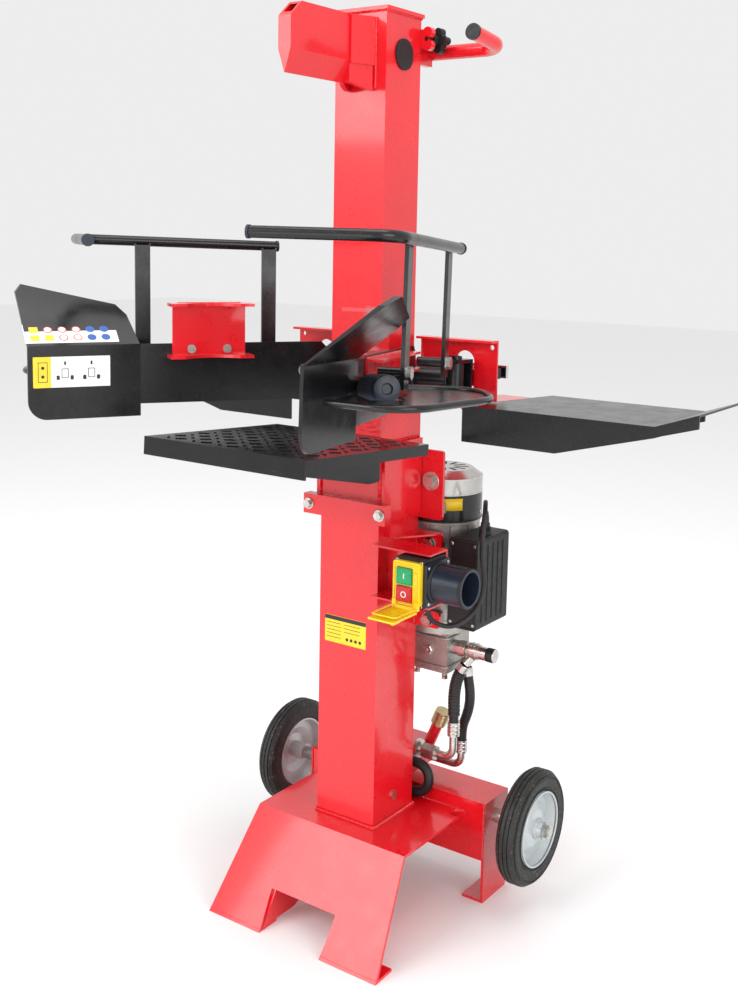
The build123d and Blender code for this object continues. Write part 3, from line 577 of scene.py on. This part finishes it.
def paddle_labels():
    """Plain labels on the left arm, with simple shapes in place of any sign."""
    space = paddle_space(-1)
    inner = -2.5
    whole = WORLD @ space
    slope = Vector((119, 0, 92)).normalized()
    out = Vector((-92, 0, 119)).normalized()

    def on_paddle(name, width, height, y, z, paint, lift=0.0, outline=None):
        spot = Vector((inner - lift, y, z))
        mesh = moved(slab(outline or rounded(width, height, 1.2), 0.25),
                     whole @ Matrix.Translation(spot) @ facing((-1, 0, 0)))
        piece(name, mesh, "arm_left", "white_plastic", paint, smooth=False)

    on_paddle("paddle_label", 122, 49, -111, 943, "label_white")
    on_paddle("paddle_label_yellow", 28, 49, -158, 943, "label_yellow", 0.2)
    on_paddle("paddle_label_box", 15, 32, -157, 943, "label_black", 0.35)
    on_paddle("paddle_label_box_fill", 13, 30, -157, 943, "label_yellow", 0.5)
    for k, z in enumerate((950, 936)):
        on_paddle(f"paddle_label_dot_{k}", 0, 0, -157, z, "label_black", 0.65, disc(2.6))
    for k, y in enumerate((-122, -80)):
        on_paddle(f"paddle_label_block_{k}", 11, 15, y, 941, "label_black", 0.35)
        on_paddle(f"paddle_label_inner_{k}", 9, 13, y, 941, "label_white", 0.5)
        for j, shift in enumerate((-11, 11)):
            on_paddle(f"paddle_label_side_{k}_{j}", 5, 7, y + shift, 934, "label_black", 0.35)
        on_paddle(f"paddle_label_top_{k}", 3, 6, y, 957, "label_black", 0.35)

    def on_flap(name, outline, y, up, paint, lift=0.0):
        base = Vector((inner, 0, 983)) + slope * up + out * (0.2 + lift) + Vector((0, y, 0))
        turn = Matrix((Vector((0, 1, 0)), slope, out)).transposed().to_4x4()
        mesh = moved(slab(outline, 0.25), whole @ Matrix.Translation(base) @ turn)
        piece(name, mesh, "arm_left", "white_plastic", paint, smooth=False)

    on_flap("flap_label", rounded(148, 44, 1.2), -107, 31, "label_white")
    colours = ("label_yellow", "label_red", "label_red", "label_red", "label_blue", "label_blue")
    for row, up in enumerate((40, 21)):
        for k, colour in enumerate(colours):
            y = -165 + 22.5 * k
            if colour == "label_yellow" or (row == 1 and k == 1):
                on_flap(f"flap_mark_{row}_{k}", rounded(14, 13, 0.6), y, up, "label_yellow", 0.2)
                continue
            on_flap(f"flap_mark_{row}_{k}", disc(7.2), y, up, colour, 0.2)
            if colour == "label_red":
                on_flap(f"flap_mark_fill_{row}_{k}", disc(5.6), y, up, "label_white", 0.35)


def arms():
    for sign, word in SIDES:
        space = arm_space(sign)
        grip_pieces(sign, word, space)
        arm_welds(sign, word, space)
    paddle_labels()


arms()


# ---------------------------------------------------------------- frame welds and fixings
def frame_welds():
    def square(half, z):
        return [(-half, -half, z), (half, -half, z), (half, half, z), (-half, half, z),
                (-half, -half, z)]

    weld("column_foot_weld", square(61.2, 162), 3.4, "frame", "red_paint")
    weld("cap_weld", square(50.6, 1521), 2.0, "ram", "red_paint")
    for sign, word in SIDES:
        x = sign * 31
        weld("wedge_weld_" + word, [(x, -51, 1400), (x, -51, 1511)], 2.2, "ram", "red_paint")
        weld("collar_weld_top_" + word, [(sign * 61, -58, 827), (sign * 61, 52, 827)], 2.4,
             "frame", "red_paint")
        weld("collar_weld_front_" + word, [(sign * 61, -61.5, 731), (sign * 61, -61.5, 826)], 2.4,
             "frame", "red_paint")
        weld("bracket_weld_" + word, [(sign * 61, 59, 902), (sign * 61, 59, 996)], 2.4, "frame",
             "red_paint")
        weld("gusset_weld_" + word, [(sign * 62, -90, 776), (sign * 62, -90, 824)], 2.0, "frame",
             "black_paint")
        weld("beam_weld_" + word, [(sign * 190, 92.5, 84), (sign * 190, 92.5, 182)], 2.2, "frame",
             "red_paint")
    weld("beam_weld_top", [(-150, 92.5, 160), (150, 92.5, 160)], 2.6, "frame", "red_paint")
    weld("collar_weld_low", [(-60, -61.5, 695.5), (60, -61.5, 695.5)], 2.2, "frame", "red_paint")
    for k, x in enumerate((-36.5, 36.5)):
        weld(f"saddle_weld_{k}", [(x, 51, 1454), (x, 51, 1492)], 2.0, "ram", "red_paint")
    for k, (z0, z1) in enumerate(((688, 804), (624, 662), (496, 520))):
        weld(f"tab_weld_{k}", [(61.2, 53, z0), (61.2, 53, z1)], 2.0, "frame", "red_paint")


def washer(name, spot, normal, radius, thick, body, slot="zinc"):
    put(name, lathe([(5, 0), (radius - 0.5, 0), (radius, 0.5), (radius, thick - 0.5),
                     (radius - 0.5, thick), (5, thick)], 36), spot, normal, body, slot)


def screw(name, spot, normal, radius, body, slot="zinc", socket=True):
    """A round screw head with a cross or a plain crown."""
    profile = [(radius, 0), (radius, radius * 0.35), (radius * 0.75, radius * 0.62),
               (0, radius * 0.68)]
    put(name, lathe(profile, 24), spot, normal, body, slot)
    if socket:
        for k in range(2):
            bar = slab(rounded(radius * 1.1, radius * 0.22, 0.05, 2), 0.15)
            turn = Matrix.Rotation(math.radians(45 + 90 * k), 4, "Z")
            bar = moved(bar, Matrix.Translation((0, 0, radius * 0.66)) @ turn)
            put(f"{name}_slot_{k}", bar, spot, normal, body, "black_plastic", smooth=False)


def frame_fixings():
    washer("tab_washer_top", (88, 54, 752), (0, -1, 0), 16.5, 1.8, "frame")
    washer("tab_washer_mid", (88, 54, 643), (0, -1, 0), 11, 1.5, "frame")
    washer("tab_washer_low", (88, 54, 508), (0, -1, 0), 11, 1.5, "frame")
    for sign, word in SIDES:
        washer("collar_washer_" + word, (sign * 73, -78, 713), (0, -1, 0), 10, 1.4, "frame")
    stud = lathe([(4.2, 0), (4.2, 2.0), (3.4, 2.8), (0, 2.8)], 24)
    put("knob_stud", stud, (62, 90, 1489), (0, 1, 0), "handle_knob", "zinc")


frame_welds()
frame_fixings()


# ---------------------------------------------------------------- plates and labels
def rating_plate():
    """A blank yellow plate with a dark heading and plain rules."""
    centre = Vector((-5, -60, 496.5))
    put("rating_plate", slab(rounded(86, 47, 1.5), 0.4), centre, (0, -1, 0), "frame",
        "yellow_plastic", "label_yellow", smooth=False)
    put("rating_heading", slab(rounded(86, 7, 0.8), 0.2), centre + Vector((0, -0.4, 19.6)),
        (0, -1, 0), "frame", "black_plastic", "label_black", smooth=False)
    for row in range(5):
        for k, (x, width) in enumerate(((-24, 30), (14, 34))):
            if row > 2 and k:
                continue
            put(f"rating_rule_{row}_{k}", slab(rounded(width, 1.0, 0.3, 2), 0.15),
                centre + Vector((x, -0.4, 11 - 6.4 * row)), (0, -1, 0), "frame", "black_plastic",
                "label_black", smooth=False)
    for k in range(4):
        put(f"rating_dot_{k}", slab(disc(2.9), 0.15), centre + Vector((4 + 9 * k, -0.4, -14)),
            (0, -1, 0), "frame", "black_plastic", "label_black", smooth=False)


rating_plate()


# ---------------------------------------------------------------- switch and inlet
BOX_X = 146.0             # middle of the switch box
BUTTON_X = 143.0          # middle of its two buttons
INLET = (-63.0, 617.0)    # the power inlet's axis: Y and Z
PINS = ((-9, 6), (9, 6), (0, -10))


def switch_details():
    front = -108.0        # face of the buttons
    put("start_mark", slab(rounded(1.8, 9, 0.6), 0.25), (BUTTON_X, front, 631), (0, -1, 0),
        "start_button", "white_plastic", smooth=False)
    ring = lathe([(3.6, 0), (3.6, 0.3), (5.2, 0.3), (5.2, 0)], 28)
    put("stop_mark", ring, (BUTTON_X, front, 601), (0, -1, 0), "stop_button", "white_plastic")
    for k, (z, body) in enumerate(((630.5, "start_button"), (601.5, "stop_button"))):
        line = [(BUTTON_X + x, front, z + y) for x, y in rounded(26, 23, 2)]
        run(f"button_rim_{k}", line, 0.7, body, "green_plastic" if k == 0 else "red_plastic",
            closed=True)
    frame_front = -104
    outer = [(BOX_X + x, frame_front, 616.5 + y) for x, y in rounded(46, 65, 4)]
    run("frame_bead", outer, 1.6, "frame", "yellow_plastic", closed=True)
    inner = [(BUTTON_X + x, frame_front, 616.5 + y) for x, y in rounded(32, 58, 2)]
    run("frame_bead_inner", inner, 1.1, "frame", "yellow_plastic", closed=True)
    for k, (x, z) in enumerate(((122.5, 654), (169.5, 654), (122.5, 582.5), (169.5, 582.5))):
        screw(f"box_screw_{k}", (x, -96, z), (0, -1, 0), 2.6, "frame")
    put("frame_lug_right", slab(rounded(7, 20, 1.5), 2.5), (164, frame_front, 628), (0, -1, 0), "frame",
        "yellow_plastic", bevel=0.0005)
    flap_line = [(BOX_X + x, -138 + y, 582.0) for x, y in rounded(44, 60, 5)]
    run("flap_bead", flap_line, 1.5, "switch_cover", "yellow_plastic", closed=True)
    centre = Vector((180, *INLET))
    for k, (dy, dz) in enumerate(((-28, 29), (28, 29), (-28, -29), (28, -29))):
        screw(f"inlet_screw_{k}", centre + Vector((0, dy, dz)), (1, 0, 0), 3.0, "frame")
    mouth = lathe([(27.2, -5), (27.2, 1.0), (28.4, 1.8), (31.2, 1.8), (32.2, 0.8), (32.2, -4),
                   (31.0, -5)], 56)
    put("inlet_mouth", mouth, (238, *INLET), (1, 0, 0), "frame", "black_plastic")
    foot = lathe([(35, 0), (35, 2), (32.5, 5), (31.0, 5)], 56)
    put("inlet_foot", foot, (180, *INLET), (1, 0, 0), "frame", "black_plastic")
    floor = lathe([(26.8, 0), (26.8, 1.2), (12, 1.2), (11, 5), (0, 5)], 48)
    put("inlet_floor", floor, (186.2, *INLET), (1, 0, 0), "frame", "black_plastic")
    key = slab(rounded(7, 46, 1), 2.6)
    put("inlet_key", key, (211, INLET[0], 647.6), (0, 0, 1), "frame", "black_plastic", up=(1, 0, 0),
        bevel=0.0005)
    for k, (dy, dz) in enumerate(PINS):
        tip = lathe([(3.15, 0), (3.15, 9), (2.4, 11), (0, 11.6)], 20)
        spot = (208.5, INLET[0] + dy, INLET[1] + dz)
        put(f"pin_tip_{k}", tip, spot, (1, 0, 0), "frame", "brass")


switch_details()


# ---------------------------------------------------------------- motor, pump and fittings
MOTOR = (64.0, 137.0)          # the motor's axis
CASE = (162.0, 44.0, 586.0)    # middle of the capacitor box's front
BANJO = (120.0, 444.0)         # axis of the pump's outlet: Y and Z
NECK = Vector((38, 140, 227))  # foot of the filler neck, which leans to the right
NECK_LEAN = 23.0


def motor_details():
    x, y = MOTOR
    for k, (z, radius) in enumerate(((677, 68.6), (723.5, 68.5), (749.8, 68.3))):
        hoop = lathe([(radius - 1.5, -1.4), (radius, -0.9), (radius, 0.9), (radius - 1.5, 1.4)], 72)
        put(f"cowl_ring_{k}", hoop, (x, y, z), (0, 0, 1), "frame", "zinc" if k else "black_plastic")
    for k, z in enumerate((497, 672)):
        hoop = lathe([(65.2, -3), (66.4, -2.2), (66.4, 2.2), (65.2, 3)], 72)
        put(f"stator_ring_{k}", hoop, (x, y, z), (0, 0, 1), "frame", "grey_cast")
    for k in range(4):
        angle = math.radians(-78 + 90 * k)
        out = Vector((math.cos(angle), math.sin(angle), 0))
        screw(f"cowl_screw_{k}", Vector((x, y, 689)) + out * 67.8, out, 3.4, "frame")
    for k in range(8):
        angle = math.radians(-60 + 45 * k)
        out = Vector((math.cos(angle), math.sin(angle), 0))
        head = slab(disc(4.2, 6), 4)
        put(f"flange_bolt_{k}", head, Vector((x, y, 470.5)) + out * 52, (0, 0, 1), "frame", "zinc",
            bevel=0.0004)
    bend = []
    for k in range(13):
        angle = math.radians(-66 + 3.0 * k)
        bend.append((math.cos(angle), math.sin(angle)))
    mesh = bmesh.new()
    rows = []
    for z in (697, 718):
        rows.append([mesh.verts.new((x + 68.5 * c, y + 68.5 * s, z)) for c, s in bend])
    for k in range(len(bend) - 1):
        mesh.faces.new((rows[0][k], rows[0][k + 1], rows[1][k + 1], rows[1][k]))
    label = piece("cowl_label", moved(mesh, WORLD), "frame", "yellow_plastic", "label_yellow")
    thick = label.modifiers.new("thick", "SOLIDIFY")
    thick.thickness = 0.0003
    thick.offset = 0


def capacitor_details():
    lid = [(CASE[0] + a, CASE[1], CASE[2] + b) for a, b in rounded(52, 150, 6)]
    run("capacitor_lid_bead", lid, 1.6, "frame", "black_plastic", closed=True)
    for k in range(5):
        line = [(190.2, 62 + 17 * k, 520), (190.2, 62 + 17 * k, 652)]
        run(f"capacitor_rib_{k}", line, 1.1, "frame", "black_plastic")
    for k, (a, b) in enumerate(((-22, 68), (22, 68), (-22, -68), (22, -68))):
        spot = (CASE[0] + a, CASE[1], CASE[2] + b)
        screw(f"capacitor_screw_{k}", spot, (0, -1, 0), 2.8, "frame")
    for k in range(5):
        nut = lathe([(9.8, -0.7), (10.5, 0), (9.8, 0.7)], 6 if k == 0 else 32)
        put(f"gland_ring_{k}", nut, (172, 98, 666 + 2.6 * k), (0, 0, 1), "frame", "black_plastic")
    cuff = lathe([(6.6, 0), (6.2, 9), (5.4, 16), (4.6, 20), (4.1, 20)], 28)
    put("gland_cuff", cuff, (172, 98, 683.8), (0, 0, 1), "frame", "rubber_black")
    inlet = lathe([(6.4, 0), (6.0, -8), (4.8, -17), (4.1, -17)], 28)
    put("box_cuff", inlet, (152, -48, 578), (0, 0, 1), "frame", "rubber_black")


def pump_details():
    x, y = MOTOR
    for k, z in enumerate((409, 462)):
        band = [(x + a, y + b, z) for a, b in rounded(79, 79, 10)]
        run(f"pump_band_{k}", band, 2.2, "frame", "grey_cast", closed=True)
    for k, (dx, dy) in enumerate(((-29, -29), (29, -29), (29, 29), (-29, 29))):
        bolt = slab(disc(6.0, 6), 5)
        put(f"pump_bolt_{k}", bolt, (x + dx, y + dy, 391), (0, 0, -1), "frame", "zinc",
            bevel=0.0004)
    plug = lathe([(9, 0), (9, 3), (7.5, 4.5), (3, 4.5), (2.6, 2), (0, 2)], 6)
    put("pump_plug_front", plug, (x, y - 38, 436), (0, -1, 0), "frame", "zinc")
    hexes = ((118.5, 15.0, 5), (139, 15.6, 5), (147, 15.6, 5))
    for k, (hx, radius, thick) in enumerate(hexes):
        nut = slab(disc(radius, 6), thick)
        put(f"banjo_hex_{k}", nut, (hx, *BANJO), (1, 0, 0), "frame", "grey_cast", bevel=0.0005)
    cap = lathe([(12.3, 0), (12.6, 2), (12.6, 13), (12.0, 14)], 40)
    put("valve_cap_band", cap, (172.5, *BANJO), (1, 0, 0), "frame", "black_plastic")
    for k in range(3):
        crimp = lathe([(11.0, -1.2), (11.7, 0), (11.0, 1.2)], 36)
        put(f"ferrule_ring_{k}", crimp, (115, 107, 292 + 7 * k), (0, 0, 1), "frame", "zinc")
        crimp = lathe([(10.5, -1.2), (11.2, 0), (10.5, 1.2)], 36)
        put(f"tank_ferrule_ring_{k}", crimp, (107, 150, 243 + 7 * k), (0, 0, 1), "frame", "zinc")
    top_crimp = lathe([(9.2, -7), (10.2, -6), (10.2, 7), (9.2, 8)], 36)
    put("hose_top_ferrule", top_crimp, (130.6, 107.8, 414), (9, 1, 15), "frame", "zinc")
    top_crimp = lathe([(9.4, -7), (10.4, -6), (10.4, 7), (9.4, 8)], 36)
    put("tank_top_ferrule", top_crimp, (124, 134.6, 398), (-3, -2, 20), "frame", "zinc")
    lean = Matrix.Translation(NECK) @ Matrix.Rotation(math.radians(NECK_LEAN), 4, "Y")
    for k in range(10):
        rib = lathe([(13.4, -0.9), (14.3, 0), (13.4, 0.9)], 36)
        mesh = moved(rib, WORLD @ lean @ Matrix.Translation((0, 0, 65 + 2.4 * k)))
        piece(f"filler_cap_rib_{k}", mesh, "tank_cap", "brass")


motor_details()
capacitor_details()
pump_details()


# ---------------------------------------------------------------- wheels
WHEEL_AXIS = (132.0, 150.0)   # Y and Z


def wheel_details():
    for sign, word in SIDES:
        space = mirror(sign)
        body = "wheel_" + word
        run("rim_lip_" + word, ring_line((280.0, *WHEEL_AXIS), 64.0, "x", 72), 1.8, body, "zinc",
            "rim_paint", space=space, closed=True)
        for k, radius in enumerate((70.5, 90.5)):
            line = ring_line((279.8, *WHEEL_AXIS), radius, "x", 72)
            run(f"tyre_ring_{word}_{k}", line, 0.9, body, "tyre_black", space=space, closed=True)
        hub = lathe([(18.5, 0), (18.5, 4), (16.5, 7.5), (12.8, 8.6), (12.8, 12)], 48)
        put("hub_collar_" + word, hub, (271, *WHEEL_AXIS), (1, 0, 0), body, "zinc", "rim_paint",
            space=space)


wheel_details()


# ---------------------------------------------------------------- floor and light
def floor_and_light():
    mesh = bmesh.new()
    reach = 14
    corners = [mesh.verts.new((x * reach, y * reach, 0))
               for x, y in ((-1, -1), (1, -1), (1, 1), (-1, 1))]
    mesh.faces.new(corners)
    data = bpy.data.meshes.new("floor")
    mesh.to_mesh(data)
    mesh.free()
    floor = bpy.data.objects.new("floor", data)
    collection.objects.link(floor)
    material, tree, shader = principled("floor_white")
    shader.inputs["Base Color"].default_value = (0.93, 0.93, 0.93, 1)
    shader.inputs["Roughness"].default_value = 0.7
    shader.inputs["Specular IOR Level"].default_value = 0.15
    data.materials.append(material)

    world = bpy.data.worlds.new("studio")
    world.use_nodes = True
    world.node_tree.nodes["Background"].inputs["Color"].default_value = (1, 1, 1, 1)
    world.node_tree.nodes["Background"].inputs["Strength"].default_value = 0.85
    scene.world = world

    target = Vector((0.0, 0.0, 0.75))
    # each lamp: name, place in metres, width in metres, watts
    lamps = (("key", (-1.4, -3.2, 2.6), 2.2, 75), ("fill", (3.4, -1.0, 1.7), 2.0, 45),
             ("top", (0.3, -0.3, 4.2), 2.6, 60), ("low", (0.6, -3.0, 0.5), 1.6, 14))
    for name, spot, size, power in lamps:
        data = bpy.data.lights.new(name, "AREA")
        data.shape = "SQUARE"
        data.size = size
        data.energy = power
        lamp = bpy.data.objects.new(name, data)
        lamp.location = spot
        lamp.rotation_euler = (target - Vector(spot)).to_track_quat("-Z", "Y").to_euler()
        collection.objects.link(lamp)
    scene.view_settings.view_transform = "Standard"
    scene.view_settings.look = "None"


floor_and_light()
